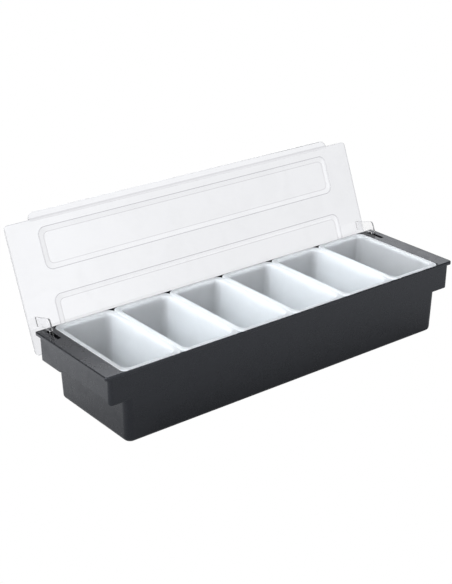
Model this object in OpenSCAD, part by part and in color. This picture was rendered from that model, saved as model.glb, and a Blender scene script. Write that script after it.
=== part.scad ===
// Condiment caddy: a black tray that holds six lift-out inserts under one hinged clear lid.
// X runs along the tray, the front is -Y, and Z = 0 is the surface that the tray stands on.

/* [Inserts] */
// Length of one insert's rim, along the tray
insert_l = 76.2; // [70:0.2:84]
// Depth of one insert's rim, from front to back
insert_w = 140.2; // [130:0.2:152]
// Height of one insert, from its foot to the top of its rim
insert_h = 74; // [60:1:80]
// Gap between the rims of two inserts
insert_gap = 0.2; // [0.1:0.1:1]
// Thickness of the rim
rim_t = 2; // [1.5:0.1:3]
// Width of the rim, from its edge to the tub inside it
rim_b = 4.8; // [4:0.1:6]
// Corner radius of the rim, seen from above
rim_r = 5.5; // [3:0.5:9]
// Wall thickness of an insert
insert_wall = 1.5; // [1:0.1:2.5]
// How far each long wall leans in towards the foot
insert_lean_x = 6; // [3:0.2:8]
// How far each short wall leans in towards the foot
insert_lean_y = 4.6; // [1:0.2:7]
// Radius of an insert's upright corners
insert_r = 12; // [10:0.5:16]
// Radius where the walls turn into the foot
insert_foot_r = 8; // [3:0.5:9]

/* [Tray] */
// Height of the tray
tray_h = 87; // [84:0.5:104]
// Wall thickness of the tray
wall = 2.2; // [1.8:0.1:3]
// Thickness of the floor
floor_t = 2.6; // [2:0.1:4]
// How far the front and the back wall lean in, from the top to the floor
tray_lean = 3; // [1:0.25:5]
// How far each end wall of the tub leans in, from the top to the floor
end_lean = 2; // [0.5:0.25:3]
// Clearance between the outer inserts and the tub's end walls
end_clear = 0.6; // [0.3:0.1:1.5]
// Radius of the tub's upright corners
tub_r = 8.5; // [7:0.5:12]
// Radius of the tub's bottom edge
foot_r = 5; // [2:0.5:6]

/* [Flange] */
// Length of the flat ledge at each end
ledge_l = 20.8; // [19:0.2:28]
// Thickness of the ledge
ledge_t = 3.4; // [2.6:0.1:5]
// Width of the strip in front of the inserts
front_strip = 1.2; // [1:0.1:3]
// Width of the strip behind the inserts
back_strip = 2.6; // [2:0.1:4]
// Thickness of the flange at its edge
flange_t = 4.4; // [3.6:0.1:6]
// How far the flange stands out past each end wall
flange_end = 4.2; // [3:0.2:6]
// How far the flange stands out past the front and the back wall
flange_side = 1.2; // [0.8:0.1:2]
// Corner radius of the flange, seen from above
flange_r = 6.5; // [4:0.5:9]
// Radius of the back edge, over which the lid swings
back_edge_r = 4; // [3.8:0.1:4.4]
// Width of the shelf that carries the front and the back of the rims
shelf_w = 3.6; // [2.4:0.1:4]
// Depth of the shelf under the rims
shelf_t = 2.4; // [1.6:0.1:4]
// Clearance around and under the rims
rim_clear = 0.1; // [0.05:0.05:0.3]

/* [Grips] */
// Height of the lower edge of the grips
grip_z = 52.5; // [44:0.5:56]
// Corner radius of the grips, seen from above
grip_r = 4.5; // [3:0.5:6]
// Width of one finger hollow
finger_w = 22.6; // [18:0.2:25]
// Depth of one finger hollow above the points between them
finger_d = 3.1; // [2:0.1:5]
// Height of the points between the hollows above the lower edge
finger_lift = 2.4; // [1:0.1:4]
// Length of the straight edge in front of the hollows
finger_start = 4.7; // [2:0.1:6]

/* [Lid] */
// How far the closed lid stands out behind the tray
lid_back = 8.4; // [7:0.1:10]
// How far the closed lid stops short of the front of the tray, where its lip begins
lid_short = 6; // [4:0.2:7]
// How much the lid is shorter than the tray at each end
lid_inset = 0.75; // [0.5:0.05:1.5]
// Thickness of the lid
lid_t = 2.4; // [2:0.1:3]
// Gap between the closed lid and the top of the tray
lid_gap = 0.8; // [0.7:0.05:1.2]
// Corner radius of the lid
lid_r = 5; // [3:0.5:10]
// Length of the two raised panels
panel_l = 421; // [360:1:440]
// Depth of one raised panel
panel_w = 48; // [40:0.5:50]
// Distance from the front edge to the front panel
panel_front = 11; // [8:0.2:16]
// Distance between the two panels
panel_gap = 28; // [24:0.5:36]
// Height of the raised panels
panel_d = 1.3; // [0.8:0.1:1.6]
// Width of the sloped border of a panel
panel_slope = 6; // [4:0.5:8]
// Corner radius of a panel
panel_r = 5; // [4:0.5:8]
// Length of the finger lip
lip_l = 435; // [300:5:450]
// Depth of the finger lip
lip_w = 8; // [5:0.5:12]
// Angle of the finger lip from the lid
lip_tilt = 14; // [0:1:25]

/* [Hinge] */
// How far the lid opens
lid_open = 111.26; // [60:0.01:111.5]
// Distance of the hinge axis from the back edge of the tray
hinge_in = 6.74; // [6.6:0.02:6.9]
// Distance of the hinge axis below the top of the tray
hinge_drop = 12.55; // [12.3:0.05:12.8]
// Radius of the hinge pins
pin_r = 2.2; // [1.8:0.1:2.4]
// Clearance between a pin and its bore, on the radius
pin_clear = 0.05; // [0.02:0.01:0.1]
// Radius of an arm's end around its pin
arm_end_r = 2.5; // [2.4:0.1:2.6]
// Thickness of a hinge arm
arm_t = 2; // [1.6:0.1:2.6]
// Distance from the end of the tray to the middle of an arm
arm_inset = 11.5; // [11:0.1:12.4]
// How far an arm reaches inwards from the lid
arm_reach = 31.6; // [30:0.2:31.8]
// Width of the neck that passes through the slot
neck_w = 5.6; // [4:0.2:6.4]
// Length of the slot for an arm
slot_l = 24.8; // [24.6:0.1:27]
// Width of the slot
slot_w = 5; // [4:0.2:6]
// Distance from the back edge of the tray to the slot
slot_back = 9.6; // [9:0.1:10.4]
// Thickness of the lug that holds a pin
lug_t = 4.7; // [3.5:0.1:5.2]
// Side clearance between an arm and its lug
lug_clear = 0.6; // [0.3:0.05:1]
// Radius of the lug around the pin
lug_r = 5.5; // [4.5:0.1:6]

/* [Hidden] */
insert_count = 6;
// Sides of a full circle on the moulded shells
soft_fn = 32;
// Sides of a full circle on what turns or fits
fine_fn = 64;
// Thin layer for the ends of a lofted form, and the overrun of a cut
skin = 0.01;
over = 1;

// The inserts stand in a row, and the tray is as long and as deep as the row and its borders
pitch = insert_l + insert_gap;
row_l = insert_count * pitch;
tray_l = row_l + 2 * ledge_l;
tray_w = front_strip + insert_w + 2 * rim_clear + back_strip;
insert_y = (front_strip - back_strip) / 2;
seat_z = tray_h - rim_t - rim_clear;
ledge_z = tray_h - ledge_t;

// Body of the tray under the flange
body_l = tray_l - 2 * flange_end;
body_w = tray_w - 2 * flange_side;
floor_w = body_w - 2 * tray_lean;
grip_edge_w = body_w - 2 * tray_lean * (tray_h - grip_z) / tray_h;
ledge_edge_w = body_w - 2 * tray_lean * ledge_t / tray_h;

// Tub between the grips, whose end walls clear the outer inserts
tub_open_l = row_l - insert_gap - 2 * rim_b + 2 * end_clear;
tub_top_l = tub_open_l + 2 * wall;
tub_mid_l = tub_top_l - 2 * end_lean * (tray_h - grip_z) / tray_h;
tub_floor_l = tub_top_l - 2 * end_lean;

// Finger hollows, from front to back
finger_n = 4;
finger_arc_r = (finger_w * finger_w / 4 + finger_d * finger_d) / (2 * finger_d);
finger_arc_z = grip_z + finger_lift + finger_d - finger_arc_r;
finger_front = -grip_edge_w / 2 + finger_start;

// Lid in its own plane: y runs from the back edge to the front edge, and z points into the tray
lid_l = tray_l - 2 * lid_inset;
lid_w = lid_back + tray_w - lid_short;
lid_back_y = tray_w / 2 + lid_back;
lid_inner_z = tray_h + lid_gap;
panel_y = [lid_w - panel_front - panel_w, lid_w - panel_front - 2 * panel_w - panel_gap];

// Hinge axis, on the tray and on the lid
hinge_y = tray_w / 2 - hinge_in;
hinge_z = tray_h - hinge_drop;
axis_s = lid_back_y - hinge_y;
axis_n = lid_inner_z - hinge_z;
arm_x = tray_l / 2 - arm_inset;
slot_y = tray_w / 2 - slot_back - slot_l;
lug_x = arm_x - arm_t / 2 - lug_clear - lug_t;
pin_l = lug_clear + lug_t - lug_clear / 2;

// Outline of an arm, from the hinge axis: s runs along the lid, and n away from it
arm_top = [[27.3, -13.4], [25.7, 0.7], [24.3, 13.2]];
arm_low = [[15.5, -1.6], [15.9, -13.4]];
neck_n = arm_reach - axis_n;
neck_low_n = neck_n - neck_w;
shoulder_r = 4.3;
shoulder_s = 20;
shoulder_cover = 2;
heel_r = neck_w / 2;
heel_s = 1.4;
crook_s = 10.4;
crook_cover = 1;

// A rectangle with round corners, about the origin
module rounded_outline(l, w, r) {
    square([l - 2 * r, w], center = true);
    square([l, w - 2 * r], center = true);
    for (sx = [-1, 1], sy = [-1, 1]) {
        translate([sx * (l / 2 - r), sy * (w / 2 - r)]) circle(r);
    }
}

// A block whose walls lean evenly from its lower outline to its upper one
module leaning_block(low_l, low_w, top_l, top_w, r, h) {
    hull() {
        linear_extrude(height = skin) rounded_outline(low_l, low_w, r, $fn = soft_fn);
        translate([0, 0, h - skin]) {
            linear_extrude(height = skin) rounded_outline(top_l, top_w, r, $fn = soft_fn);
        }
    }
}

// A tub's solid form: round upright corners, a round bottom edge and leaning walls
module tub_form(low_l, low_w, top_l, top_w, r, edge_r, h) {
    hull() {
        for (sx = [-1, 1], sy = [-1, 1], a = [0 : 22.5 : 90]) {
            translate([sx * (low_l / 2 - r), sy * (low_w / 2 - r), edge_r * (1 - sin(a))]) {
                cylinder(r = r - edge_r + edge_r * cos(a), h = skin, $fn = soft_fn);
            }
        }
        translate([0, 0, h - skin]) {
            linear_extrude(height = 2 * skin) rounded_outline(top_l, top_w, r, $fn = soft_fn);
        }
    }
}

// The upper body with its flange, open below the ledges
module tray_shell() {
    difference() {
        union() {
            translate([0, 0, grip_z]) {
                leaning_block(body_l, grip_edge_w, body_l, ledge_edge_w, grip_r, ledge_z - grip_z);
            }
            translate([0, 0, tray_h - flange_t]) {
                linear_extrude(height = flange_t) {
                    rounded_outline(tray_l, tray_w, flange_r, $fn = fine_fn);
                }
            }
        }
        translate([0, 0, grip_z - over]) {
            leaning_block(body_l - 2 * wall, grip_edge_w - 2 * wall,
                body_l - 2 * wall, ledge_edge_w - 2 * wall, grip_r - wall / 2, ledge_z - grip_z + over);
        }
    }
}

// The tub between the grips, solid
module tub_outside() {
    tub_form(tub_floor_l, floor_w, tub_mid_l, grip_edge_w, tub_r, foot_r, grip_z);
    translate([0, 0, grip_z]) {
        leaning_block(tub_mid_l, grip_edge_w, tub_top_l, ledge_edge_w, tub_r, ledge_z - grip_z + skin);
    }
}

// The space inside the tub, with the opening that the shelf leaves
module tub_inside() {
    mid_l = tub_mid_l - 2 * wall;
    mid_w = grip_edge_w - 2 * wall;
    top_w = ledge_edge_w - 2 * wall;
    under_shelf = seat_z - shelf_t;
    translate([0, 0, floor_t]) {
        tub_form(tub_floor_l - 2 * wall, floor_w - 2 * wall, mid_l, mid_w,
            tub_r - wall, foot_r - wall, grip_z - floor_t);
    }
    translate([0, 0, grip_z]) {
        leaning_block(mid_l, mid_w, tub_open_l, top_w, tub_r - wall, under_shelf - grip_z);
    }
    translate([0, insert_y, under_shelf - over]) {
        linear_extrude(height = shelf_t + 2 * over) {
            rounded_outline(tub_open_l, insert_w - 2 * shelf_w, tub_r - wall, $fn = soft_fn);
        }
    }
}

// The recess that the rims lie in, flush with the flange
module rim_recess() {
    translate([0, insert_y, seat_z]) {
        linear_extrude(height = rim_t + rim_clear + over) {
            rounded_outline(row_l, insert_w + 2 * rim_clear, rim_r, $fn = fine_fn);
        }
    }
}

// What is cut away to round the back edge
module back_edge_cut() {
    translate([0, tray_w / 2 - back_edge_r, tray_h - back_edge_r]) rotate([0, 90, 0]) {
        difference() {
            translate([-back_edge_r - over, 0, -tray_l / 2 - over]) {
                cube([back_edge_r + over, back_edge_r + over, tray_l + 2 * over]);
            }
            cylinder(r = back_edge_r, h = tray_l + 4 * over, center = true, $fn = fine_fn);
        }
    }
}

// The four finger hollows in the lower edge of the right-hand grip
module finger_hollows() {
    for (i = [0 : finger_n - 1]) {
        translate([body_l / 2 - 2 * wall, finger_front + (i + 0.5) * finger_w, finger_arc_z]) {
            rotate([0, 90, 0]) cylinder(r = finger_arc_r, h = 3 * wall, $fn = fine_fn);
        }
    }
}

// The lug under the right-hand ledge, with the bore for the lid's pin
module hinge_lug() {
    lug_back = body_w / 2 - tray_lean * (hinge_drop + lug_r) / tray_h - wall / 2;
    translate([lug_x, 0, 0]) rotate([90, 0, 90]) linear_extrude(height = lug_t) {
        intersection() {
            union() {
                translate([hinge_y, hinge_z]) circle(lug_r, $fn = fine_fn);
                translate([hinge_y - lug_r, hinge_z]) square([3 * lug_r, ledge_z - hinge_z + skin]);
                translate([hinge_y, hinge_z - lug_r]) square([3 * lug_r, 2 * lug_r]);
            }
            translate([hinge_y - 2 * lug_r, hinge_z - 2 * lug_r]) {
                square([lug_back - hinge_y + 2 * lug_r, 6 * lug_r]);
            }
        }
    }
}

module pin_bore() {
    translate([lug_x - over, hinge_y, hinge_z]) rotate([0, 90, 0]) {
        cylinder(r = pin_r + pin_clear, h = lug_t + 2 * over, $fn = fine_fn);
    }
}

module arm_slot() {
    translate([arm_x - slot_w / 2, slot_y, ledge_z - over]) {
        cube([slot_w, slot_l, ledge_t + 2 * over]);
    }
}

// Places what follows at the right-hand end and, mirrored, at the left-hand end
module both_ends() {
    children();
    mirror([1, 0, 0]) children();
}

module tray() {
    color("#2b2b2e") difference() {
        union() {
            tray_shell();
            tub_outside();
            both_ends() hinge_lug();
        }
        tub_inside();
        rim_recess();
        back_edge_cut();
        both_ends() {
            finger_hollows();
            pin_bore();
            arm_slot();
        }
    }
}

// One arm's outline, from the hinge axis
module arm_outline() {
    hull() {
        circle(arm_end_r, $fn = soft_fn);
        translate([heel_s, neck_n - heel_r]) circle(heel_r, $fn = soft_fn);
    }
    translate([heel_s, neck_low_n]) square([shoulder_s - heel_s, neck_w]);
    translate([shoulder_s, neck_n - shoulder_r]) circle(shoulder_r, $fn = soft_fn);
    polygon([
        each arm_top,
        [shoulder_s, neck_n - shoulder_cover],
        [crook_s, neck_low_n + crook_cover],
        [crook_s, neck_low_n],
        each arm_low
    ]);
}

// The right-hand arm with its pin, in the plane of the lid
module hinge_arm() {
    translate([arm_x - arm_t / 2, axis_s, axis_n]) rotate([90, 0, 90]) {
        linear_extrude(height = arm_t) arm_outline();
    }
    translate([arm_x - pin_l - arm_t / 2, axis_s, axis_n]) rotate([0, 90, 0]) {
        cylinder(r = pin_r, h = pin_l + skin, $fn = fine_fn);
    }
}

// A raised panel's form, grown by the slope towards the sheet
module panel_form() {
    top_l = panel_l - 2 * panel_slope;
    top_w = panel_w - 2 * panel_slope;
    leaning_block(panel_l, panel_w, top_l, top_w, panel_r, panel_d);
}

// The finger lip, which turns away from the tray
module finger_lip() {
    translate([0, lid_w, 0]) rotate([-lip_tilt, 0, 0]) translate([0, 0, -lid_t]) {
        linear_extrude(height = lid_t) {
            intersection() {
                rounded_outline(lip_l, 2 * lip_w, lip_w - skin, $fn = fine_fn);
                translate([-lip_l / 2, -lid_t]) square([lip_l, lip_w + lid_t]);
            }
        }
    }
}

module lid_sheet() {
    difference() {
        union() {
            translate([0, lid_w / 2, -lid_t]) {
                linear_extrude(height = lid_t) rounded_outline(lid_l, lid_w, lid_r, $fn = fine_fn);
            }
            for (y = panel_y) {
                translate([0, y + panel_w / 2, -lid_t]) mirror([0, 0, 1]) panel_form();
            }
            finger_lip();
        }
        for (y = panel_y) {
            translate([0, y + panel_w / 2, skin]) mirror([0, 0, 1]) panel_form();
        }
    }
}

module lid_closed() {
    translate([0, lid_back_y, lid_inner_z]) rotate([180, 0, 0]) {
        lid_sheet();
        both_ends() hinge_arm();
    }
}

module lid() {
    color("#e8eef2", 0.35) {
        translate([0, hinge_y, hinge_z]) rotate([-lid_open, 0, 0]) {
            translate([0, -hinge_y, -hinge_z]) lid_closed();
        }
    }
}

// One insert of the row, counted from the left
module insert(place) {
    out_l = insert_l - 2 * rim_b;
    out_w = insert_w - 2 * rim_b;
    in_l = out_l - 2 * insert_wall;
    in_w = out_w - 2 * insert_wall;
    rim_z = insert_h - rim_t;
    color("#e6e9ea") translate([(place - (insert_count + 1) / 2) * pitch, insert_y, tray_h - insert_h]) {
        difference() {
            union() {
                tub_form(out_l - 2 * insert_lean_x, out_w - 2 * insert_lean_y, out_l, out_w,
                    insert_r, insert_foot_r, insert_h - skin);
                translate([0, 0, rim_z]) {
                    linear_extrude(height = rim_t) {
                        rounded_outline(insert_l, insert_w, rim_r, $fn = fine_fn);
                    }
                }
            }
            translate([0, 0, insert_wall]) {
                tub_form(in_l - 2 * insert_lean_x, in_w - 2 * insert_lean_y, in_l, in_w,
                    insert_r - insert_wall, insert_foot_r - insert_wall, insert_h - insert_wall);
            }
        }
    }
}

tray();
lid();
insert(1);  // insert_1
insert(2);  // insert_2
insert(3);  // insert_3
insert(4);  // insert_4
insert(5);  // insert_5
insert(6);  // insert_6
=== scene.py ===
"""Condiment caddy: a black tray with six lift-out inserts under one hinged clear lid.

All lengths are in metres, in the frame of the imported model: X runs along the tray, the front
is -Y, and Z = 0 is the surface that the tray stands on.
"""

import math
from collections import namedtuple
from types import SimpleNamespace

import bmesh
import bpy
from bpy.props import FloatProperty, FloatVectorProperty, IntProperty, PointerProperty
from mathutils import Matrix, Vector


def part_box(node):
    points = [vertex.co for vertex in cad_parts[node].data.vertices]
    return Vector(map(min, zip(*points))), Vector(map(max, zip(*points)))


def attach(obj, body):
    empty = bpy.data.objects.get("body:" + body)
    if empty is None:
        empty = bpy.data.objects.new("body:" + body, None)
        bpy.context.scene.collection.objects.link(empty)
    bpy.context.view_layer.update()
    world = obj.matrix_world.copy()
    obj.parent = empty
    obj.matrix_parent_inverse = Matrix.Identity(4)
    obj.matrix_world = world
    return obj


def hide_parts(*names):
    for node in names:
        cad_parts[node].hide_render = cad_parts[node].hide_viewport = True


bl_info = {
    "name": "Condiment Caddy",
    "version": (1, 0, 0),
    "blender": (4, 5, 0),
    "location": "View3D > Sidebar > Caddy",
    "description": "Dresses the packed condiment caddy: tray, inserts, lid and a pale studio",
    "category": "Object",
}

MM = 0.001

# Points that are closer than WELD become one, and places that are closer than SAME count as equal
WELD = 0.005 * MM
SAME = 0.02 * MM

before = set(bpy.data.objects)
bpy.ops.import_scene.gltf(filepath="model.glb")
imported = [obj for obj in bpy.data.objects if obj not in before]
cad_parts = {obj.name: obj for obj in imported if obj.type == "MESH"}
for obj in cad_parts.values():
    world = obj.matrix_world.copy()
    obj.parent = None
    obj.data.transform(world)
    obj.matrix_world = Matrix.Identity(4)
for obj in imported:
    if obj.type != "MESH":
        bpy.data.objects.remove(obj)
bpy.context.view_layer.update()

INSERTS = sorted(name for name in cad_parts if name.startswith("insert_"))

# The light comes from soft patches in a dim sky of the ambient strength. Each patch has the
# azimuth of its middle, from the front towards +X, its elevation, and the angles from its middle
# to where it ends and to where it starts to fade, all in degrees, and then its strength.
AMBIENT = 0.05
LIGHTS = (
    (270, 42, 44, 10, 6.5),
    (150, 42, 40, 6, 3.0),
    (0, 12, 34, 26, 1.5),
    (15, 46, 42, 4, 2.2),
)

# A rectangle with round corners at height z, with its middle at y
Ring = namedtuple("Ring", "length width radius z y", defaults=(0.0,))
CORNERS = ((1, 1), (1, -1), (-1, 1), (-1, -1))

# The places of the lid's materials in its list; EDGES and BENDS carry darker tints, painted shade
# lines along the sheet's edges and the panels' borders
SHEET, EDGES, BENDS, ARMS = range(4)


# Settings

def length(name, description, size):
    """A length setting, given in millimetres."""
    return FloatProperty(name=name, description=description, default=size * MM, unit="LENGTH")


def angle(name, description, degrees):
    """An angle setting, given in degrees."""
    return FloatProperty(name=name, description=description, default=math.radians(degrees),
                         subtype="ANGLE", unit="ROTATION")


def share(name, description, value):
    """A setting from 0 to 1."""
    return FloatProperty(name=name, description=description, default=value, min=0, max=1,
                         subtype="FACTOR")


def paint(name, description, value, most=1):
    """A colour setting."""
    return FloatVectorProperty(name=name, description=description, default=value, size=3,
                               min=0, max=most, subtype="COLOR")


def steps(value):
    """A setting for how many faces a rounded corner has."""
    return IntProperty(name="Corner Steps", description="Faces around one rounded corner",
                       default=value, min=3)


class InsertSettings(bpy.types.PropertyGroup):
    """Sizes and colour of the lift-out inserts."""

    rim_thickness: length("Rim Thickness", "Thickness of the rim that hangs on the tray", 2)
    rim_width: length("Rim Width", "Width of the rim, from its edge to the tub's outer wall", 4.8)
    rim_corner: length("Rim Corner", "Corner radius of the rim, seen from above", 9.5)
    wall: length("Wall", "Wall thickness of the tub", 1.5)
    lean_x: length("Long Wall Lean", "How far each long wall leans in towards the foot", 6)
    lean_y: length("Short Wall Lean", "How far each short wall leans in towards the foot", 4.6)
    corner: length("Upright Corner", "Radius of the tub's upright corners", 8.5)
    foot: length("Foot Radius", "Radius where the walls turn into the foot", 8)
    lip: length("Lip Radius", "Rounding between the rim and the inside of the tub", 1.8)
    edge: length("Edge Radius", "Rounding of the rim's outer edge", 0.9)
    corner_steps: steps(10)
    colour: paint("Milky White", "Body colour of the milky plastic", (0.92, 0.935, 0.944))
    translucency: share("Translucency", "Share of the light that passes through a surface", 0.78)
    sheen: share("Sheen", "Strength of the reflections", 0.4)
    roughness: share("Roughness", "Roughness of the clean plastic", 0.34)
    rubbed: share("Rubbed", "Roughness where the plastic is rubbed", 0.44)


class TraySettings(bpy.types.PropertyGroup):
    """Sizes and colour of the tray."""

    wall: length("Wall", "Wall thickness", 2.2)
    floor: length("Floor", "Thickness of the floor", 2.6)
    lean: length("Side Lean", "How far the front and the back lean in, from top to floor", 3)
    end_lean: length("End Lean", "How far the tub's ends lean in, from top to floor", 2)
    tub_corner: length("Tub Corner", "Radius of the tub's upright corners", 8.5)
    foot: length("Foot Radius", "Radius of the tub's bottom edge", 5)
    ledge: length("Ledge", "Thickness of the flat ledge at each end", 3.4)
    front_strip: length("Front Strip", "Width of the strip in front of the inserts", 1.2)
    back_strip: length("Back Strip", "Width of the strip behind the inserts", 2.6)
    flange: length("Flange", "Thickness of the flange", 4.4)
    flange_end: length("Flange End", "How far the flange stands out past the end walls", 4.2)
    flange_side: length("Flange Side", "How far it stands out past the front and the back", 1.2)
    flange_corner: length("Flange Corner", "Corner radius of the flange, seen from above", 4)
    back_edge: length("Back Edge", "Radius of the back edge, over which the lid swings", 4)
    row_inset: length("Row Inset", "From the end of the row of rims to the tub's opening", 4.2)
    clear: length("Rim Clearance", "Clearance around and under the rims", 0.1)
    shelf_width: length("Shelf Width", "Width of the shelf that carries the rims", 3.6)
    shelf_depth: length("Shelf Depth", "Depth of the shelf under the rims", 2.4)
    rim_corner: length("Recess Corner", "Corner radius of the recess for the rims", 5.5)
    rim_depth: length("Rim Depth", "Depth of the recess that the rims lie in", 2.1)
    grip_height: length("Grip Height", "Height of the lower edge of the grips", 52.5)
    grip_corner: length("Grip Corner", "Corner radius of the grips, seen from above", 4.5)
    finger_width: length("Finger Width", "Width of one finger hollow", 22.6)
    finger_depth: length("Finger Depth", "Depth of a hollow above the points between them", 3.1)
    finger_lift: length("Finger Lift", "Height of the points above the lower edge", 2.4)
    finger_start: length("Finger Start", "Straight edge in front of the hollows", 4.7)
    fingers: IntProperty(name="Fingers", description="Finger hollows at each end", default=4)
    slot_length: length("Slot Length", "Length of the slot for a hinge arm", 24.8)
    slot_width: length("Slot Width", "Width of the slot for a hinge arm", 5)
    slot_back: length("Slot Back", "Distance from the back edge to the slot", 9.6)
    arm_inset: length("Arm Inset", "Distance from the end to the middle of a hinge arm", 11.5)
    hinge_in: length("Hinge Inset", "Distance of the hinge from the back edge", 6.74)
    hinge_drop: length("Hinge Drop", "Distance of the hinge below the top", 12.55)
    lug_inset: length("Lug Inset", "Distance from the end to the lug's outer side", 13.1)
    lug_thickness: length("Lug Thickness", "Thickness of the lug that holds a pin", 4.7)
    lug_radius: length("Lug Radius", "Radius of the lug around the pin", 5.5)
    bore: length("Bore", "Radius of the bore for the pin", 2.25)
    top_edge: length("Top Edge", "Rounding of the flange's top edge", 1.6)
    low_edge: length("Low Edge", "Rounding of the flange's lower edge", 0.4)
    cut_edge: length("Cut Edge", "Rounding of the recess and the slots", 0.2)
    grip_edge: length("Grip Edge", "Rounding of the grips' lower edge", 0.8)
    corner_steps: steps(8)
    sharp: angle("Sharp Angle", "Edges that turn by more than this are shaded sharp", 32)
    colour: paint("Black", "Body colour of the black plastic", (0.0035, 0.0036, 0.0042))
    dust_colour: paint("Dust", "Colour of the specks of dust", (0.3, 0.3, 0.32))
    sheen: share("Sheen", "Strength of the reflections", 0.33)
    sheen_colour: paint("Sheen Colour", "Colour of the reflections", (0.93, 0.985, 1.095), 2)
    roughness: share("Roughness", "Roughness of the clean plastic", 0.22)
    rubbed: share("Rubbed", "Roughness where the plastic is rubbed", 0.36)


class LidSettings(bpy.types.PropertyGroup):
    """Sizes and tints of the clear lid, measured in its own plane from its back edge."""

    inset: length("Inset", "How much the lid is shorter than the tray at each end", 0.75)
    overhang: length("Overhang", "How far the closed lid reaches past the back of the tray", 8.4)
    short: length("Front Gap", "How far the closed lid stops short of the tray's front", 6)
    gap: length("Gap", "Gap between the closed lid and the top of the tray", 0.8)
    thickness: length("Thickness", "Thickness of the sheet", 2.4)
    corner: length("Corner", "Corner radius of the sheet", 5)
    edge: length("Edge Radius", "Rounding of the sheet's edges", 1.1)
    bend: length("Bend Width", "Width of the lines along the panels' borders", 0.45)
    panel_length: length("Panel Length", "Length of a raised panel", 421)
    panel_width: length("Panel Width", "Width of a raised panel", 48)
    panel_front: length("Panel Front", "From the front edge to the front panel", 11)
    panel_gap: length("Panel Gap", "Distance between the two panels", 28)
    panel_height: length("Panel Height", "Height of a raised panel", 0.9)
    panel_slope: length("Panel Slope", "Width of a panel's sloped border", 6)
    panel_corner: length("Panel Corner", "Corner radius of a panel's sloped border", 9)
    lip_length: length("Lip Length", "Length of the finger lip", 435)
    lip_width: length("Lip Width", "Width of the finger lip", 8)
    lip_tilt: angle("Lip Tilt", "Angle of the finger lip from the sheet", 14)
    opening: angle("Opening", "How far the lid stands open", 111.26)
    arm_thickness: length("Arm Thickness", "Thickness of a hinge arm", 2)
    arm_edge: length("Arm Edge", "Rounding of a hinge arm's edges", 0.35)
    pin: length("Pin", "Radius of a hinge pin", 2.2)
    pin_length: length("Pin Length", "Length of a hinge pin", 5)
    corner_steps: steps(8)
    sharp: angle("Sharp Angle", "Edges that turn by more than this are shaded sharp", 40)
    least_bend: angle("Least Bend", "The borders of the panels bend by more than this", 7)
    tint: paint("Clear Tint", "Light that the sheet lets through", (0.882, 0.888, 0.91))
    # The edge and bend tints are darker than the sheet's tint: painted shade lines, not a colour of
    # the plastic
    edge_painted_shade: paint("Edge Tint", "Light that the edges let through", (0.72, 0.72, 0.745))
    bend_painted_shade: paint("Bend Painted Shade", "Light that the bends let through", (0.6, 0.6, 0.63))
    arm_tint: paint("Arm Tint", "Light that the hinge arms let through", (0.97, 0.97, 0.975))


class StageSettings(bpy.types.PropertyGroup):
    """Camera, floor and light."""

    azimuth: angle("Azimuth", "Side that the camera looks from, 0 from the front", -37.422)
    elevation: angle("Elevation", "Height of the camera above the horizon", 23.43)
    roll: angle("Roll", "Turn of the camera about its line of sight", -0.59)
    distance: length("Distance", "Distance from the camera to its target", 1430.4)
    target: FloatVectorProperty(
        name="Target", description="Point that the camera looks at", subtype="TRANSLATION",
        unit="LENGTH", default=(-42.85 * MM, 0, 100.76 * MM), size=3)
    lens: FloatProperty(
        name="Focal Length", description="Focal length in millimetres on a 36 mm sensor",
        default=78.13, min=10)
    floor_size: length("Floor", "Half the side of the floor", 12000)
    floor_colour: paint("Floor Colour", "Colour of the floor in its lit parts", (0.36, 0.36, 0.36))
    light_colour: paint("Light Colour", "Colour of the studio light", (0.985, 1, 1.03), 2)
    bounce_start: length("Bounce Start", "Distance from the middle where the bounce starts", 70)
    bounce_full: length("Bounce Full", "Distance from the middle where it is full", 570)
    bounce_back: FloatProperty(
        name="Back Bounce", description="Light that comes up from the floor behind on the left",
        default=1.4, min=0)
    bounce_front: FloatProperty(
        name="Front Bounce", description="Light that comes up from the floor in front",
        default=0.9, min=0)


# Shader helpers

def new_node(tree, kind, inputs=None, **settings):
    """Adds a node, sets its properties, and links or sets its inputs."""
    node = tree.nodes.new(kind)
    for name, value in settings.items():
        setattr(node, name, value)
    for key, value in (inputs or {}).items():
        if isinstance(value, bpy.types.NodeSocket):
            tree.links.new(value, node.inputs[key])
        else:
            node.inputs[key].default_value = value
    return node


def maths(tree, operation, first, second=0.0, clamp=False):
    """Works out one step of a calculation from numbers or sockets."""
    return new_node(tree, "ShaderNodeMath", {0: first, 1: second},
                    operation=operation, use_clamp=clamp).outputs[0]


def spread(tree, value, low, high, to_low=0.0, to_high=1.0):
    """Maps value from low..high to to_low..to_high, clamped."""
    return new_node(tree, "ShaderNodeMapRange", {
        "Value": value, "From Min": low, "From Max": high,
        "To Min": to_low, "To Max": to_high}).outputs["Result"]


def blend_colour(tree, factor, first, second):
    """Mixes two colours by a factor."""
    node = new_node(tree, "ShaderNodeMix", data_type="RGBA")
    for key, value in ((0, factor), (6, first), (7, second)):
        if isinstance(value, bpy.types.NodeSocket):
            tree.links.new(value, node.inputs[key])
        else:
            node.inputs[key].default_value = value
    return node.outputs[2]


def scaled(colour, factor=1.0):
    """A colour times a factor, with full alpha."""
    return (*(factor * part for part in colour), 1)


def object_place(tree):
    """The place on a piece, which its marks are bound to."""
    return new_node(tree, "ShaderNodeTexCoord").outputs["Object"]


def start_material(name):
    """A new node material, with its Principled shader already linked to the output."""
    material = bpy.data.materials.new(name)
    material.use_nodes = True
    tree = material.node_tree
    tree.nodes.clear()
    shader = new_node(tree, "ShaderNodeBsdfPrincipled")
    new_node(tree, "ShaderNodeOutputMaterial", {"Surface": shader.outputs[0]},
             name="Material Output")
    return material, tree, shader


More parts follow.
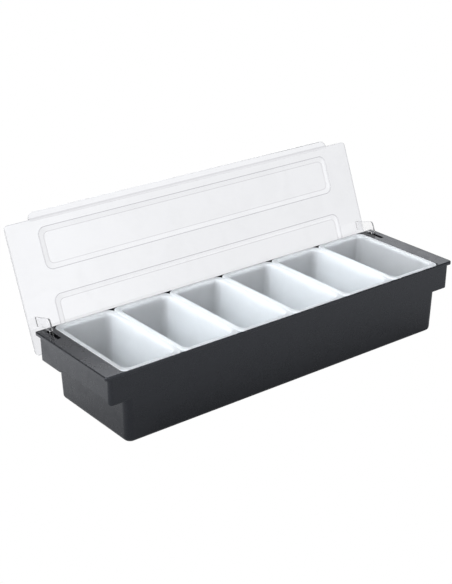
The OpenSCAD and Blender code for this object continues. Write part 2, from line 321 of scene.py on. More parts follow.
def start_group(name, inputs, outputs):
    """A new shader node group with float inputs and outputs, and its group nodes."""
    tree = bpy.data.node_groups.new(name, "ShaderNodeTree")
    for label, default in inputs.items():
        socket = tree.interface.new_socket(label, in_out="INPUT", socket_type="NodeSocketFloat")
        socket.default_value = default
    for label, kind in outputs.items():
        tree.interface.new_socket(label, in_out="OUTPUT", socket_type=kind)
    return tree, tree.nodes.new("NodeGroupInput"), tree.nodes.new("NodeGroupOutput")


def use_group(tree, group, inputs):
    """Adds a group with its inputs set."""
    node = new_node(tree, "ShaderNodeGroup", node_tree=group)
    for key, value in inputs.items():
        node.inputs[key].default_value = value
    return node


# Shared finishes

def mould_grain_group():
    """Fine spark-eroded mould grain with soft flow marks, as moulded plastic shows."""
    name = "Mould Grain"
    if name in bpy.data.node_groups:
        return bpy.data.node_groups[name]
    tree, given, result = start_group(
        name, {"Grain Size": 0.5 * MM, "Flow Size": 12 * MM, "Flow Share": 0.3},
        {"Height": "NodeSocketFloat", "Mottle": "NodeSocketFloat"})
    place = object_place(tree)
    grain = new_node(tree, "ShaderNodeTexNoise", {
        "Vector": place, "Scale": maths(tree, "DIVIDE", 1.0, given.outputs["Grain Size"]),
        "Detail": 2.0})
    flow = new_node(tree, "ShaderNodeTexNoise", {
        "Vector": place, "Scale": maths(tree, "DIVIDE", 1.0, given.outputs["Flow Size"]),
        "Detail": 4.0, "Roughness": 0.6, "Distortion": 0.4})
    height = new_node(tree, "ShaderNodeMix", {
        0: given.outputs["Flow Share"], 2: grain.outputs["Fac"], 3: flow.outputs["Fac"]})
    tree.links.new(height.outputs[0], result.inputs["Height"])
    tree.links.new(spread(tree, flow.outputs["Fac"], 0.3, 0.7), result.inputs["Mottle"])
    return tree


def dust_group():
    """Sparse pale specks and faint rubbed patches, as handled plastic shows."""
    name = "Dust And Rub"
    if name in bpy.data.node_groups:
        return bpy.data.node_groups[name]
    tree, given, result = start_group(
        name, {"Speck Spacing": 8 * MM, "Speck Size": 0.035, "Rub Size": 30 * MM},
        {"Specks": "NodeSocketFloat", "Rub": "NodeSocketFloat"})
    place = object_place(tree)
    cells = new_node(tree, "ShaderNodeTexVoronoi", {
        "Vector": place, "Scale": maths(tree, "DIVIDE", 1.0, given.outputs["Speck Spacing"])})
    speck = maths(tree, "LESS_THAN", cells.outputs["Distance"], given.outputs["Speck Size"])
    some = maths(tree, "GREATER_THAN", cells.outputs["Color"], 0.62)
    tree.links.new(maths(tree, "MULTIPLY", speck, some), result.inputs["Specks"])
    rub = new_node(tree, "ShaderNodeTexNoise", {
        "Vector": place, "Scale": maths(tree, "DIVIDE", 1.0, given.outputs["Rub Size"]),
        "Detail": 6.0, "Roughness": 0.7, "Distortion": 1.2})
    tree.links.new(spread(tree, rub.outputs["Fac"], 0.45, 0.7), result.inputs["Rub"])
    return tree


# Materials

def black_plastic(settings):
    """Black plastic with a fine satin grain, faint rubbed patches and a few specks of dust."""
    material, tree, shader = start_material("black_plastic")
    grain = use_group(tree, mould_grain_group(), {
        "Grain Size": 0.55 * MM, "Flow Size": 14 * MM, "Flow Share": 0.25})
    dust = use_group(tree, dust_group(), {"Rub Size": 26 * MM})
    half_worn = maths(tree, "MULTIPLY", grain.outputs["Mottle"], 0.5)
    body = blend_colour(tree, half_worn, scaled(settings.colour), scaled(settings.colour, 1.7))
    faint_dust = maths(tree, "MULTIPLY", dust.outputs["Specks"], 0.35)
    speckled = blend_colour(tree, faint_dust, body, scaled(settings.dust_colour))
    rub = spread(tree, dust.outputs["Rub"], 0, 1, settings.roughness, settings.rubbed)
    rough = maths(tree, "ADD", rub, maths(tree, "MULTIPLY", grain.outputs["Mottle"], 0.08))
    bump = new_node(tree, "ShaderNodeBump", {
        "Height": grain.outputs["Height"], "Strength": 0.2, "Distance": 0.12 * MM})
    tree.links.new(speckled, shader.inputs["Base Color"])
    tree.links.new(rough, shader.inputs["Roughness"])
    tree.links.new(bump.outputs[0], shader.inputs["Normal"])
    shader.inputs["Specular IOR Level"].default_value = settings.sheen
    shader.inputs["Specular Tint"].default_value = scaled(settings.sheen_colour)
    return material


def milky_plastic(settings):
    """Milky white plastic: light passes through its thin walls, and its skin is a soft satin."""
    material, tree, shader = start_material("milky_plastic")
    grain = use_group(tree, mould_grain_group(), {
        "Grain Size": 0.8 * MM, "Flow Size": 20 * MM, "Flow Share": 0.5})
    dust = use_group(tree, dust_group(), {"Rub Size": 34 * MM})
    body = blend_colour(tree, grain.outputs["Mottle"], scaled(settings.colour),
                        scaled(settings.colour, 0.97))
    rough = spread(tree, dust.outputs["Rub"], 0, 1, settings.roughness, settings.rubbed)
    bump = new_node(tree, "ShaderNodeBump", {
        "Height": grain.outputs["Height"], "Strength": 0.12, "Distance": 0.1 * MM})
    tree.links.new(body, shader.inputs["Base Color"])
    tree.links.new(rough, shader.inputs["Roughness"])
    tree.links.new(bump.outputs[0], shader.inputs["Normal"])
    shader.inputs["Specular IOR Level"].default_value = settings.sheen
    through = new_node(tree, "ShaderNodeBsdfTranslucent", {
        "Color": body, "Normal": bump.outputs[0]})
    both = new_node(tree, "ShaderNodeMixShader", {
        0: settings.translucency, 1: shader.outputs[0], 2: through.outputs[0]})
    tree.links.new(both.outputs[0], tree.nodes["Material Output"].inputs["Surface"])
    return material


def clear_plastic(name, tint, roughness, ior):
    """Polished clear plastic, with faint smears that dull it in places."""
    material, tree, shader = start_material(name)
    dust = use_group(tree, dust_group(), {"Rub Size": 45 * MM})
    smear = spread(tree, dust.outputs["Rub"], 0, 1, roughness, roughness + 0.05)
    colour = blend_colour(tree, dust.outputs["Rub"], scaled(tint), scaled(tint, 0.97))
    tree.links.new(colour, shader.inputs["Base Color"])
    tree.links.new(smear, shader.inputs["Roughness"])
    shader.inputs["Transmission Weight"].default_value = 1
    shader.inputs["IOR"].default_value = ior
    return material


# Mesh helpers

def add_piece(name, mesh, body, nodes, materials):
    """Links a finished mesh as a piece that rides on a body and stands for CAD nodes."""
    for material in materials:
        mesh.materials.append(material)
    piece = bpy.data.objects.new(name, mesh)
    bpy.context.scene.collection.objects.link(piece)
    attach(piece, body)
    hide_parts(*nodes)
    return piece


def finish_mesh(bm, name):
    """Turns a bmesh into a smooth-shaded mesh."""
    for face in bm.faces:
        face.smooth = True
    mesh = bpy.data.meshes.new(name)
    bm.to_mesh(mesh)
    bm.free()
    return mesh


def weigh_normals(piece):
    """Keeps flat faces flat beside narrow roundings."""
    modifier = piece.modifiers.new("Weighted Normal", "WEIGHTED_NORMAL")
    modifier.mode = "FACE_AREA"
    modifier.weight = 80
    modifier.keep_sharp = True


def quarter_round(radius, count=6):
    """A quarter round from side to end: how far each step stands back and how far off the end."""
    turns = [math.radians(90 * i / count) for i in range(count + 1)]
    return [(radius * (1 - math.cos(turn)), radius * (1 - math.sin(turn))) for turn in turns]


def drawn_in(ring, back, z):
    """A ring drawn in on all sides, at another height."""
    return Ring(ring.length - 2 * back, ring.width - 2 * back, ring.radius - back, z, ring.y)


def corner_centre(ring, side_x, side_y):
    """The middle of a ring's round corner."""
    return Vector((side_x * (ring.length / 2 - ring.radius),
                   ring.y + side_y * (ring.width / 2 - ring.radius), ring.z))


def next_ring(bm, edges, old, new):
    """Extrudes the edges of a ring and moves them into the next ring."""
    made = bmesh.ops.extrude_edge_only(bm, edges=edges)["geom"]
    verts = [item for item in made if isinstance(item, bmesh.types.BMVert)]
    growth = new.radius / old.radius
    for side_x, side_y in CORNERS:
        group = [v for v in verts if v.co.x * side_x > 0 and (v.co.y - old.y) * side_y > 0]
        centre = corner_centre(old, side_x, side_y)
        bmesh.ops.scale(bm, vec=(growth, growth, 1), space=Matrix.Translation(-centre), verts=group)
        bmesh.ops.translate(bm, vec=corner_centre(new, side_x, side_y) - centre, verts=group)
    fresh = set(verts)
    around = {edge for vert in verts for edge in vert.link_edges}
    return [edge for edge in around if fresh.issuperset(edge.verts)]


def loft(rings, corner_steps):
    """A closed skin through a stack of rings, as a bmesh."""
    bm = bmesh.new()
    first = rings[0]
    corners = bmesh.ops.create_grid(bm, x_segments=1, y_segments=1, size=0.5)["verts"]
    bmesh.ops.scale(bm, vec=(first.length, first.width, 1), verts=corners)
    bmesh.ops.translate(bm, vec=(0, first.y, first.z), verts=corners)
    bmesh.ops.bevel(
        bm, geom=corners, offset=first.radius, offset_type="OFFSET", segments=corner_steps,
        profile=0.5, affect="VERTICES", material=-1)
    edges = bm.edges[:]
    for old, new in zip(rings, rings[1:]):
        edges = next_ring(bm, edges, old, new)
    bmesh.ops.contextual_create(bm, geom=edges)
    bmesh.ops.recalc_face_normals(bm, faces=bm.faces)
    return bm


def block(low, high):
    """A box between two corners, as a bmesh."""
    bm = bmesh.new()
    low, high = Vector(low), Vector(high)
    bmesh.ops.create_cube(bm, size=1, matrix=Matrix.LocRotScale((low + high) / 2, None, high - low))
    return bm


def rod(start, length_x, radius, sides=64):
    """A cylinder along X from its start, as a bmesh."""
    bm = bmesh.new()
    middle = Vector(start) + Vector((length_x / 2, 0, 0))
    bmesh.ops.create_cone(
        bm, cap_ends=True, segments=sides, radius1=radius, radius2=radius, depth=length_x,
        matrix=Matrix.Translation(middle) @ Matrix.Rotation(math.radians(90), 4, "Y"))
    return bm


def combine(base, operation, tools):
    """A bmesh after a union with others, or a cut by them; all given ones are used up."""
    helpers = []
    for bm in (base, *tools):
        mesh = bpy.data.meshes.new("helper")
        bm.to_mesh(mesh)
        bm.free()
        helper = bpy.data.objects.new("helper", mesh)
        bpy.context.scene.collection.objects.link(helper)
        helpers.append(helper)
    for helper in helpers[1:]:
        step = helpers[0].modifiers.new("Combine", "BOOLEAN")
        step.operation = operation
        step.solver = "EXACT"
        step.object = helper
    graph = bpy.context.evaluated_depsgraph_get()
    made = bmesh.new()
    made.from_object(helpers[0], graph)
    for helper in helpers:
        mesh = helper.data
        bpy.data.objects.remove(helper)
        bpy.data.meshes.remove(mesh)
    return made


def mirrored(bm):
    """A bmesh and its mirror image at the other end, both as new ones."""
    other = bm.copy()
    bmesh.ops.scale(other, vec=(-1, 1, 1), verts=other.verts)
    bmesh.ops.reverse_faces(other, faces=other.faces)
    return [bm, other]


def near(value, target):
    """Whether two places count as equal."""
    return abs(value - target) < SAME


def turned_edges(bm, least):
    """The edges where the surface turns by more than an angle."""
    return [edge for edge in bm.edges if edge.is_manifold and edge.calc_face_angle(0) > least]


def weld(bm):
    """Joins points that fall together, and drops the faces and edges that lose their size."""
    bmesh.ops.remove_doubles(bm, verts=bm.verts, dist=WELD)
    bmesh.ops.dissolve_degenerate(bm, edges=bm.edges, dist=WELD)


def round_edges(bm, edges, size):
    """Rounds edges with two faces each."""
    bmesh.ops.bevel(
        bm, geom=edges, offset=size, offset_type="OFFSET", segments=2, profile=0.5,
        affect="EDGES", material=-1, clamp_overlap=True)


def mark_sharp(bm, least):
    """Shades edges sharp where the surface turns by more than an angle."""
    for edge in bm.edges:
        edge.smooth = edge.is_manifold and edge.calc_face_angle(0) < least


# Pieces

def insert_rings(s, length, width, height):
    """The rings of an insert, up its outside and down its inside."""
    out_l = length - 2 * s.rim_width
    out_w = width - 2 * s.rim_width
    in_l = out_l - 2 * s.wall
    in_w = out_w - 2 * s.wall
    in_corner = s.corner - s.wall
    in_foot = s.foot - s.wall
    rim_z = height - s.rim_thickness
    foot = Ring(out_l - 2 * s.lean_x, out_w - 2 * s.lean_y, s.corner, 0)
    rim = Ring(length, width, s.rim_corner, rim_z)
    mouth = Ring(in_l, in_w, in_corner, height)
    inside = Ring(in_l - 2 * s.lean_x, in_w - 2 * s.lean_y, in_corner, s.wall)
    return [
        *(drawn_in(foot, back, off) for back, off in reversed(quarter_round(s.foot))),
        Ring(out_l, out_w, s.corner, rim_z),
        *(drawn_in(rim, back, rim_z + off) for back, off in reversed(quarter_round(s.edge))),
        *(drawn_in(rim, back, height - off) for back, off in quarter_round(s.edge)),
        *(drawn_in(mouth, -out, height - off) for out, off in reversed(quarter_round(s.lip, 8))),
        *(drawn_in(inside, back, s.wall + off) for back, off in quarter_round(in_foot)),
    ]


def make_insert(settings, node, material):
    """One lift-out insert, in the place of its CAD node."""
    low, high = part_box(node)
    size = high - low
    bm = loft(insert_rings(settings, size.x, size.y, size.z), settings.corner_steps)
    middle = (low + high) / 2
    bmesh.ops.translate(bm, vec=(middle.x, middle.y, low.z), verts=bm.verts)
    piece = add_piece("tub_" + node, finish_mesh(bm, "tub_" + node), node,
                      [node], [material])
    weigh_normals(piece)
    return piece


def tray_form(s):
    """The tray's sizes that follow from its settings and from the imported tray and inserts."""
    low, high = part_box("tray")
    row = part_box(INSERTS[-1])[1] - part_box(INSERTS[0])[0]
    t = SimpleNamespace(size=high - low, row=row)
    t.middle_y = (s.front_strip - s.back_strip) / 2
    t.body_l = t.size.x - 2 * s.flange_end
    t.body_w = t.size.y - 2 * s.flange_side
    t.open_l = row.x - 2 * s.row_inset
    t.tub_l = t.open_l + 2 * s.wall
    t.ledge_z = t.size.z - s.ledge
    t.seat_z = t.size.z - s.rim_depth
    t.hinge_y = t.size.y / 2 - s.hinge_in
    t.hinge_z = t.size.z - s.hinge_drop
    t.lug_x = t.size.x / 2 - s.lug_inset
    return t


def side_width(s, t, z):
    """Distance between the front and the back wall's outer faces at a height."""
    return t.body_w - 2 * s.lean * (t.size.z - z) / t.size.z


def tub_length(s, t, z):
    """Distance between the tub's end walls' outer faces at a height."""
    return t.tub_l - 2 * s.end_lean * (t.size.z - z) / t.size.z


def drop_flat_faces(bm):
    """Dissolves the faces without area that two rings leave where they share a straight side."""
    no_area = MM * MM * MM
    for face in [face for face in bm.faces if face.calc_area() < no_area]:
        longest = sorted(face.edges, key=lambda edge: edge.calc_length())[-2:]
        bmesh.ops.dissolve_edges(bm, edges=longest)


def tray_outside(s, t):
    """The tray's outer form, solid, from its foot to its flange."""
    top = t.size.z
    under = top - s.flange
    grip_w = side_width(s, t, s.grip_height)
    foot = Ring(tub_length(s, t, 0), side_width(s, t, 0), s.tub_corner, 0)
    flange = Ring(t.size.x, t.size.y, s.flange_corner, under)
    low, high = quarter_round(s.low_edge, 3), quarter_round(s.top_edge, 4)
    bm = loft([
        *(drawn_in(foot, back, off) for back, off in reversed(quarter_round(s.foot))),
        Ring(tub_length(s, t, s.grip_height), grip_w, s.tub_corner, s.grip_height),
        Ring(t.body_l, grip_w, s.grip_corner, s.grip_height),
        Ring(t.body_l, side_width(s, t, under), s.grip_corner, under),
        *(drawn_in(flange, back, under + off) for back, off in reversed(low)),
        *(drawn_in(flange, back, top - off) for back, off in high),
    ], s.corner_steps)
    drop_flat_faces(bm)
    return bm


def tub_space(s, t):
    """The space in the tub, up to the shelf."""
    under = t.seat_z - s.shelf_depth
    foot = Ring(tub_length(s, t, 0), side_width(s, t, 0), s.tub_corner, 0)
    inner = reversed(quarter_round(s.foot - s.wall, 4))
    return loft([
        *(drawn_in(foot, back + s.wall, s.floor + off) for back, off in inner),
        Ring(t.open_l, side_width(s, t, under) - 2 * s.wall, s.tub_corner - s.wall, under),
    ], s.corner_steps)


def shelf_space(s, t):
    """The opening in the shelf and the recess for the rims above it."""
    shelf_w = t.row.y - 2 * s.shelf_width
    rings = [Ring(t.open_l, shelf_w, s.tub_corner - s.wall, z, t.middle_y)
             for z in (t.seat_z - s.shelf_depth, t.seat_z)]
    rings += [Ring(t.row.x + 2 * s.clear, t.row.y + 2 * s.clear, s.rim_corner, z, t.middle_y)
              for z in (t.seat_z, t.size.z + MM)]
    return loft(rings, s.corner_steps)


def grip_hollows(s, t):
    """The space inside the two grips, between the tub and the skirt."""
    start = s.grip_height - MM
    skirt = [Ring(t.body_l - 2 * s.wall, side_width(s, t, z) - 2 * s.wall,
                  s.grip_corner - s.wall / 2, z) for z in (start, t.ledge_z)]
    tub = [Ring(tub_length(s, t, z), t.size.y, s.tub_corner, z)
           for z in (start - MM, t.ledge_z + MM)]
    return combine(loft(skirt, s.corner_steps), "DIFFERENCE", [loft(tub, s.corner_steps)])


def back_edge_cutter(s, t):
    """What is cut away to round the back edge."""
    half = t.size.x / 2 + MM
    y, z = t.size.y / 2 - s.back_edge, t.size.z - s.back_edge
    corner = block((-half, y, z), (half, y + s.back_edge + MM, z + s.back_edge + MM))
    return combine(corner, "DIFFERENCE", [rod((-half - MM, y, z), 2 * half + 2 * MM, s.back_edge)])


def finger_cutters(s, t):
    """The finger hollows at one end."""
    radius = (s.finger_width ** 2 / 4 + s.finger_depth ** 2) / (2 * s.finger_depth)
    z = s.grip_height + s.finger_lift + s.finger_depth - radius
    front = s.finger_start - side_width(s, t, s.grip_height) / 2
    return [rod((t.body_l / 2 - 2 * s.wall, front + (i + 0.5) * s.finger_width, z),
                3 * s.wall, radius) for i in range(s.fingers)]


def slot_cutter(s, t):
    """The slot that a hinge arm passes through."""
    rings = [Ring(s.slot_width, s.slot_length, 2 * s.cut_edge, z)
             for z in (t.ledge_z - MM, t.size.z + MM)]
    bm = loft(rings, 3)
    back = t.size.y / 2 - s.slot_back - s.slot_length / 2
    bmesh.ops.translate(bm, vec=(t.size.x / 2 - s.arm_inset, back, 0), verts=bm.verts)
    return bm


def hinge_lug(s, t):
    """The lug under the ledge that holds one pin of the lid."""
    x, y, z = t.lug_x, t.hinge_y, t.hinge_z
    r, thick = s.lug_radius, s.lug_thickness
    back = side_width(s, t, z - r) / 2 - s.wall / 2
    round_part = rod((x - thick, y, z), thick, r)
    up = block((x - thick, y - r, z), (x, back, t.ledge_z + s.wall / 2))
    rear = block((x - thick, y, z - r), (x, back, z))
    whole = combine(round_part, "UNION", [up, rear])
    room = block((x - 2 * thick, y - 2 * r, z - 2 * r), (x + thick, back, t.size.z))
    return combine(whole, "INTERSECT", [room])


def make_tray(settings):
    """The tray: flanged shell, tub, grips with finger hollows, slots and hinge lugs."""
    s, t = settings, tray_form(settings)
    bm = combine(tray_outside(s, t), "DIFFERENCE", [grip_hollows(s, t)])
    bm = combine(bm, "UNION", mirrored(hinge_lug(s, t)))
    cutters = [tub_space(s, t), shelf_space(s, t), back_edge_cutter(s, t)]
    pin = rod((t.lug_x - s.lug_thickness - MM, t.hinge_y, t.hinge_z), s.lug_thickness + 2 * MM,
              s.bore)
    for cutter in (*finger_cutters(s, t), slot_cutter(s, t), pin):
        cutters += mirrored(cutter)
    bm = combine(bm, "DIFFERENCE", cutters)
    weld(bm)
    top = [edge for edge in turned_edges(bm, s.sharp)
           if all(near(v.co.z, t.size.z) for v in edge.verts)]
    round_edges(bm, top, s.cut_edge)
    hollow_top = s.grip_height + s.finger_lift + s.finger_depth + MM
    reach = s.finger_width * s.fingers
    grips = [edge for edge in turned_edges(bm, s.sharp)
             if all(near(abs(v.co.x), t.body_l / 2) and v.co.z < hollow_top
                    and abs(v.co.y) < reach for v in edge.verts)]
    round_edges(bm, grips, s.grip_edge)
    mark_sharp(bm, s.sharp)
    piece = add_piece("tray_moulding", finish_mesh(bm, "tray_moulding"), "tray",
                      ["tray"], [black_plastic(settings)])
    weigh_normals(piece)
    return piece


# The corners of a hinge arm in millimetres, from the pin along the lid and from the pin towards
# it, each with the rounding that it has
ARM = (
    (27.3, -13.6, 0), (25.7, 0.7, 0), (24.3, 18.25, 4.3), (-1.4, 18.25, 2.8), (-2.5, -2.5, 2.45),
    (2.5, -2.5, 2.45), (4.2, 12.65, 1), (10.4, 12.65, 1), (15.5, -1.6, 1), (15.9, -13.6, 0),
)


def lid_form(s):
    """The lid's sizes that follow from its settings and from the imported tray."""
    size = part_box("tray")[1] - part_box("tray")[0]
    tray = bpy.context.scene.caddy_tray
    f = SimpleNamespace(length=size.x - 2 * s.inset, width=s.overhang + size.y - s.short)
    f.back_y = size.y / 2 + s.overhang
    f.inner_z = size.z + s.gap
    f.hinge = Vector((0, size.y / 2 - tray.hinge_in, size.z - tray.hinge_drop))
    f.arm_x = size.x / 2 - tray.arm_inset
    front = f.width - s.panel_front - s.panel_width / 2
    f.panels = (front, front - s.panel_width - s.panel_gap)
    return f


def panel_form(s, y, start):
    """A raised panel's form, from a height inside the sheet to its raised face."""
    level = -s.thickness if start < 0 else 0.0
    top_l, top_w = s.panel_length - 2 * s.panel_slope, s.panel_width - 2 * s.panel_slope
    return loft([Ring(s.panel_length, s.panel_width, s.panel_corner, start, y),
                 Ring(s.panel_length, s.panel_width, s.panel_corner, level, y),
                 Ring(top_l, top_w, s.panel_corner - s.panel_slope / 2, level - s.panel_height, y)],
                s.corner_steps)


def finger_lip(s, f):
    """The lip along the front edge, which turns away from the tray."""
    e = s.edge / 2
    rings = [Ring(s.lip_length - 2 * e, 2 * s.lip_width - 2 * e, s.lip_width - 2 * e, 0)]
    rings += [Ring(s.lip_length, 2 * s.lip_width, s.lip_width - e, z) for z in (e, s.thickness - e)]
    rings.append(rings[0]._replace(z=s.thickness))
    half = block((-s.lip_length, -s.thickness, -s.thickness),
                 (s.lip_length, 2 * s.lip_width, 2 * s.thickness))
    bm = combine(loft(rings, s.corner_steps), "INTERSECT", [half])
    turn = (Matrix.Translation((0, f.width, 0)) @ Matrix.Rotation(-s.lip_tilt, 4, "X")
            @ Matrix.Translation((0, 0, -s.thickness)))
    bmesh.ops.transform(bm, matrix=turn, verts=bm.verts)
    return bm


def hinge_arm(s, f):
    """The right-hand hinge arm with its pin, in the plane of the lid."""
    bm = bmesh.new()
    along, away = f.back_y - f.hinge.y, f.inner_z - f.hinge.z
    start = f.arm_x - s.arm_thickness / 2
    verts = [bm.verts.new((start, along + u * MM, away + v * MM)) for u, v, _ in ARM]
    bm.faces.new(verts)
    for vert, (_, _, rounding) in zip(verts, ARM):
        if rounding:
            bmesh.ops.bevel(bm, geom=[vert], offset=rounding * MM, offset_type="OFFSET",
                            segments=s.corner_steps, profile=0.5, affect="VERTICES",
                            material=-1)
    made = bmesh.ops.extrude_face_region(bm, geom=bm.faces[:])["geom"]
    bmesh.ops.translate(bm, vec=(s.arm_thickness, 0, 0),
                        verts=[item for item in made if isinstance(item, bmesh.types.BMVert)])
    bmesh.ops.recalc_face_normals(bm, faces=bm.faces)
    rims = [e for e in bm.edges if abs(e.verts[0].co.x - e.verts[1].co.x) < s.arm_edge]
    round_edges(bm, rims, s.arm_edge)
    pin = rod((start - s.pin_length, along, away), s.pin_length + s.arm_edge, s.pin, 32)
    return combine(bm, "UNION", [pin])


def lid_bends(s, f, bm, levels):
    """The edges where a panel's border bends, at the given heights."""
    def inside(place):
        return abs(place.x) < s.panel_length / 2 + s.edge and any(
            abs(place.y - y) < s.panel_width / 2 + s.edge for y in f.panels)
    return [edge for edge in turned_edges(bm, s.least_bend)
            if all(inside(v.co) and any(near(v.co.z, z) for z in levels) for v in edge.verts)]


def mark_materials(s, f, bm):
    """Marks the sheet's edges for the material with painted shade lines, and the arms for theirs,
    with a cut where the lip starts.
    """
    above_sheet = 0.1 * MM
    lip_start = f.width + s.edge
    bmesh.ops.bisect_plane(bm, geom=bm.verts[:] + bm.edges[:] + bm.faces[:], dist=0.001 * MM,
                           plane_co=(0, lip_start, 0), plane_no=(0, 1, 0))
    for face in bm.faces:
        place = face.calc_center_median()
        on_arm = abs(abs(place.x) - f.arm_x) < 2 * s.pin_length
        if on_arm and place.z > above_sheet:
            face.material_index = ARMS
        elif (f.width - s.edge < place.y < lip_start or abs(place.x) > f.length / 2 - s.edge
              or place.y < s.edge):
            face.material_index = EDGES


def make_lid(settings):
    """The clear lid: sheet with two raised panels, finger lip and two hinge arms."""
    s, f = settings, lid_form(settings)
    edge = reversed(quarter_round(s.edge, 3))
    sheet = Ring(f.length, f.width, s.corner, -s.thickness, f.width / 2)
    rings = [drawn_in(sheet, back, off - s.thickness) for back, off in edge]
    rings += [ring._replace(z=-s.thickness - ring.z) for ring in reversed(rings)]
    raised = [panel_form(s, y, -s.thickness / 2) for y in f.panels]
    bm = combine(loft(rings, s.corner_steps), "UNION",
                 [*raised, finger_lip(s, f), *mirrored(hinge_arm(s, f))])
    bm = combine(bm, "DIFFERENCE", [panel_form(s, y, s.gap) for y in f.panels])
    weld(bm)
    mark_materials(s, f, bm)
    # The panels' borders are bevelled into the materials with painted shade lines
    for place, levels in ((BENDS, (0, -s.thickness)),
                          (EDGES, (-s.panel_height, -s.thickness - s.panel_height))):
        bmesh.ops.bevel(
            bm, geom=lid_bends(s, f, bm, levels), offset=s.bend, offset_type="OFFSET", segments=2,
            profile=0.5, affect="EDGES", material=place, clamp_overlap=True)
    turn = (Matrix.Translation(f.hinge) @ Matrix.Rotation(-s.opening, 4, "X")
            @ Matrix.Translation(Vector((0, f.back_y, f.inner_z)) - f.hinge)
            @ Matrix.Rotation(math.radians(180), 4, "X"))
    bmesh.ops.transform(bm, matrix=turn, verts=bm.verts)
    mark_sharp(bm, s.sharp)
    materials = {
        SHEET: clear_plastic("clear_plastic", s.tint, roughness=0.02, ior=1.45),
        # The edges and the bends get darker tints: painted shade lines
        EDGES: clear_plastic("clear_plastic_edges_painted_shade", s.edge_painted_shade, roughness=0.05, ior=1.45),
        BENDS: clear_plastic("clear_plastic_bends_painted_shade", s.bend_painted_shade, roughness=0.08, ior=1.45),
        ARMS: clear_plastic("clear_plastic_arms", s.arm_tint, roughness=0.2, ior=1.3),
    }
    piece = add_piece("lid_moulding", finish_mesh(bm, "lid_moulding"), "lid",
                      ["lid"], materials.values())
    weigh_normals(piece)
    return piece


# Stage

def make_camera(settings):
    """The camera, placed by the side that it looks from and its distance to the target."""
    sight = Vector((math.sin(settings.azimuth) * math.cos(settings.elevation),
                    -math.cos(settings.azimuth) * math.cos(settings.elevation),
                    math.sin(settings.elevation)))
    right = Vector((0, 0, 1)).cross(sight).normalized()
    turn = Matrix.Rotation(settings.roll, 3, sight)
    right = turn @ right
    up = sight.cross(right)
    camera = bpy.data.objects.new("Camera", bpy.data.cameras.new("Camera"))
    camera.data.lens = settings.lens
    camera.data.clip_end = 100
    camera.matrix_world = Matrix.Translation(
        Vector(settings.target) + sight * settings.distance
    ) @ Matrix((right, up, sight)).transposed().to_4x4()
    bpy.context.scene.collection.objects.link(camera)
    bpy.context.scene.camera = camera


def seen_white(tree):
    """1 for what the camera sees straight or through clear plastic, 0 for what lights things."""
    path = new_node(tree, "ShaderNodeLightPath").outputs
    seen = maths(tree, "MAXIMUM", path["Is Camera Ray"], path["Is Transmission Ray"])
    return maths(tree, "SUBTRACT", seen, path["Is Diffuse Ray"], clamp=True)


def make_floor(settings):
    """A matt floor that lights the object from below and looks plain white."""
    bm = bmesh.new()
    bmesh.ops.create_grid(bm, x_segments=1, y_segments=1, size=settings.floor_size)
    mesh = bpy.data.meshes.new("floor")
    bm.to_mesh(mesh)
    bm.free()
    material = bpy.data.materials.new("pale_floor")
    material.use_nodes = True
    tree = material.node_tree
    tree.nodes.clear()
    matt = new_node(tree, "ShaderNodeBsdfDiffuse", {"Color": scaled(settings.floor_colour)})
    place = object_place(tree)
    sides = {(-0.7, 0.7, 0): settings.bounce_back, (0, -1, 0): settings.bounce_front}
    total = 0.0
    for side, strength in sides.items():
        along = new_node(tree, "ShaderNodeVectorMath", {0: place, 1: side},
                         operation="DOT_PRODUCT").outputs["Value"]
        grown = spread(tree, along, settings.bounce_start, settings.bounce_full, 0, strength)
        total = maths(tree, "ADD", grown, total)
    bounce = new_node(tree, "ShaderNodeEmission", {
        "Color": scaled(settings.light_colour), "Strength": total})
    lit = new_node(tree, "ShaderNodeAddShader", {0: matt.outputs[0], 1: bounce.outputs[0]})
    glow = new_node(tree, "ShaderNodeEmission", {"Color": (1, 1, 1, 1)})
    both = new_node(tree, "ShaderNodeMixShader", {
        0: seen_white(tree), 1: lit.outputs[0], 2: glow.outputs[0]})
    new_node(tree, "ShaderNodeOutputMaterial", {"Surface": both.outputs[0]})
    mesh.materials.append(material)
    floor = bpy.data.objects.new("floor", mesh)
    bpy.context.scene.collection.objects.link(floor)


def soft_patch(tree, direction, azimuth, elevation, edge, core):
    """A soft patch in the sky, 1 within core degrees of its middle and 0 beyond edge degrees."""
    azimuth, elevation = math.radians(azimuth), math.radians(elevation)
    aim = (math.sin(azimuth) * math.cos(elevation), -math.cos(azimuth) * math.cos(elevation),
           math.sin(elevation))
    facing = new_node(tree, "ShaderNodeVectorMath", {0: direction, 1: aim},
                      operation="DOT_PRODUCT").outputs["Value"]
    fade = new_node(tree, "ShaderNodeMapRange", {
        "Value": facing, "From Min": math.cos(math.radians(edge)),
        "From Max": math.cos(math.radians(core))}, interpolation_type="SMOOTHSTEP")
    return fade.outputs["Result"]


def make_world(settings):
    """Large soft lights around a dim studio, in front of a white backdrop."""
    world = bpy.data.worlds.new("Studio")
    bpy.context.scene.world = world
    world.use_nodes = True
    tree = world.node_tree
    tree.nodes.clear()
    direction = new_node(tree, "ShaderNodeTexCoord").outputs["Generated"]
    light = AMBIENT
    for azimuth, elevation, edge, core, strength in LIGHTS:
        patch = soft_patch(tree, direction, azimuth, elevation, edge, core)
        light = maths(tree, "ADD", maths(tree, "MULTIPLY", patch, strength), light)
    seen = seen_white(tree)
    shade = new_node(tree, "ShaderNodeMix", {0: seen, 2: light, 3: 1.0})
    tint = blend_colour(tree, seen, scaled(settings.light_colour), (1, 1, 1, 1))
    sky = new_node(tree, "ShaderNodeBackground", {"Color": tint, "Strength": shade.outputs[0]})
    new_node(tree, "ShaderNodeOutputWorld", {"Surface": sky.outputs[0]})


# Operators

class CADDY_OT_make_stage(bpy.types.Operator):
    """Makes the camera, the pale floor and the soft light"""

    bl_idname = "caddy.make_stage"
    bl_label = "Make Stage"

    def execute(self, context):
        settings = context.scene.caddy_stage
        make_camera(settings)
        make_floor(settings)
        make_world(settings)
        context.scene.view_settings.view_transform = "Standard"
        return {"FINISHED"}


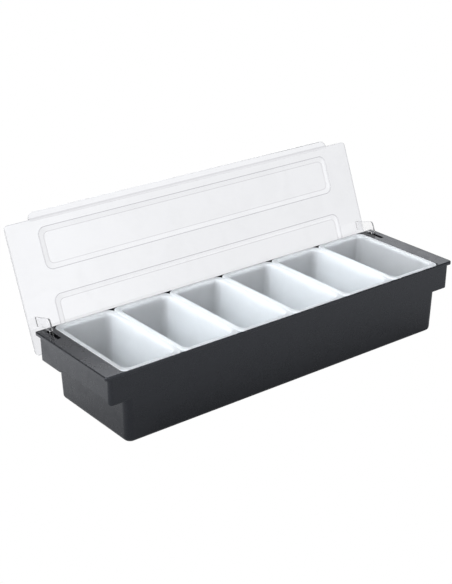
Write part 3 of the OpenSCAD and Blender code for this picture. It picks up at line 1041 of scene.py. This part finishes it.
class CADDY_OT_make_tray(bpy.types.Operator):
    """Makes the black tray"""

    bl_idname = "caddy.make_tray"
    bl_label = "Make Tray"

    def execute(self, context):
        make_tray(context.scene.caddy_tray)
        return {"FINISHED"}


class CADDY_OT_make_inserts(bpy.types.Operator):
    """Makes the six lift-out inserts"""

    bl_idname = "caddy.make_inserts"
    bl_label = "Make Inserts"

    def execute(self, context):
        settings = context.scene.caddy_inserts
        material = milky_plastic(settings)
        for node in INSERTS:
            make_insert(settings, node, material)
        return {"FINISHED"}


class CADDY_OT_make_lid(bpy.types.Operator):
    """Makes the clear lid with its hinge arms"""

    bl_idname = "caddy.make_lid"
    bl_label = "Make Lid"

    def execute(self, context):
        make_lid(context.scene.caddy_lid)
        return {"FINISHED"}


class CADDY_PT_sidebar(bpy.types.Panel):
    """Lists the settings and the operators"""

    bl_idname = "CADDY_PT_sidebar"
    bl_label = "Condiment Caddy"
    bl_space_type = "VIEW_3D"
    bl_region_type = "UI"
    bl_category = "Caddy"

    def draw(self, context):
        for name, operator in (
                ("caddy_stage", "caddy.make_stage"), ("caddy_tray", "caddy.make_tray"),
                ("caddy_inserts", "caddy.make_inserts"), ("caddy_lid", "caddy.make_lid")):
            box = self.layout.box()
            settings = getattr(context.scene, name)
            for key in settings.__annotations__:
                box.prop(settings, key)
            box.operator(operator)


SETTINGS = {
    "caddy_stage": StageSettings,
    "caddy_tray": TraySettings,
    "caddy_inserts": InsertSettings,
    "caddy_lid": LidSettings,
}
OPERATORS = (CADDY_OT_make_stage, CADDY_OT_make_tray, CADDY_OT_make_inserts, CADDY_OT_make_lid)


def register():
    for cls in (*SETTINGS.values(), *OPERATORS, CADDY_PT_sidebar):
        bpy.utils.register_class(cls)
    for name, cls in SETTINGS.items():
        setattr(bpy.types.Scene, name, PointerProperty(type=cls))


def unregister():
    for name in SETTINGS:
        delattr(bpy.types.Scene, name)
    for cls in reversed((*SETTINGS.values(), *OPERATORS, CADDY_PT_sidebar)):
        bpy.utils.unregister_class(cls)


def main():
    register()
    bpy.ops.caddy.make_stage()
    bpy.ops.caddy.make_tray()
    bpy.ops.caddy.make_inserts()
    bpy.ops.caddy.make_lid()


if __name__ == "__main__":
    main()
